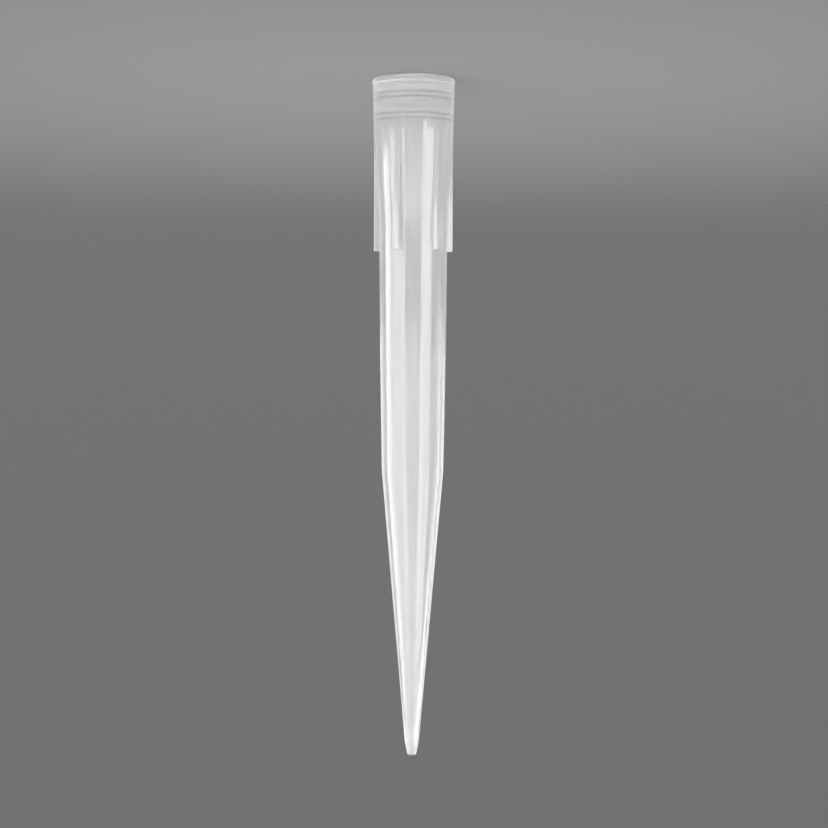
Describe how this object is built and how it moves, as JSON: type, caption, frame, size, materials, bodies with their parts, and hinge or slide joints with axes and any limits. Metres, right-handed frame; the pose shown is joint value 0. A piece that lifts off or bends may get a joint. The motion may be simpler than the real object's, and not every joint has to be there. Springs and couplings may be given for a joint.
{
  "type": "pipette tip",
  "caption": "Slender disposable tip of milky clear plastic: a ribbed collar with a sealing socket, a straight body and a long cone up to a fine orifice.",
  "frame": {"origin": "the middle of the rim, in the plane that the tip stands on", "axes": "The tip stands mouth down on its rim: +Z is its axis of symmetry, from the mouth up to the point. +X goes through the middle of a rib."},
  "size_m": [0.0088, 0.0088, 0.071],
  "materials": {
    "polypropylene": "natural polypropylene, milky and see-through, smooth from a polished mould"
  },
  "bodies": {
    "root": {"pipette_tip": "polypropylene"}
  },
  "joints": []
}
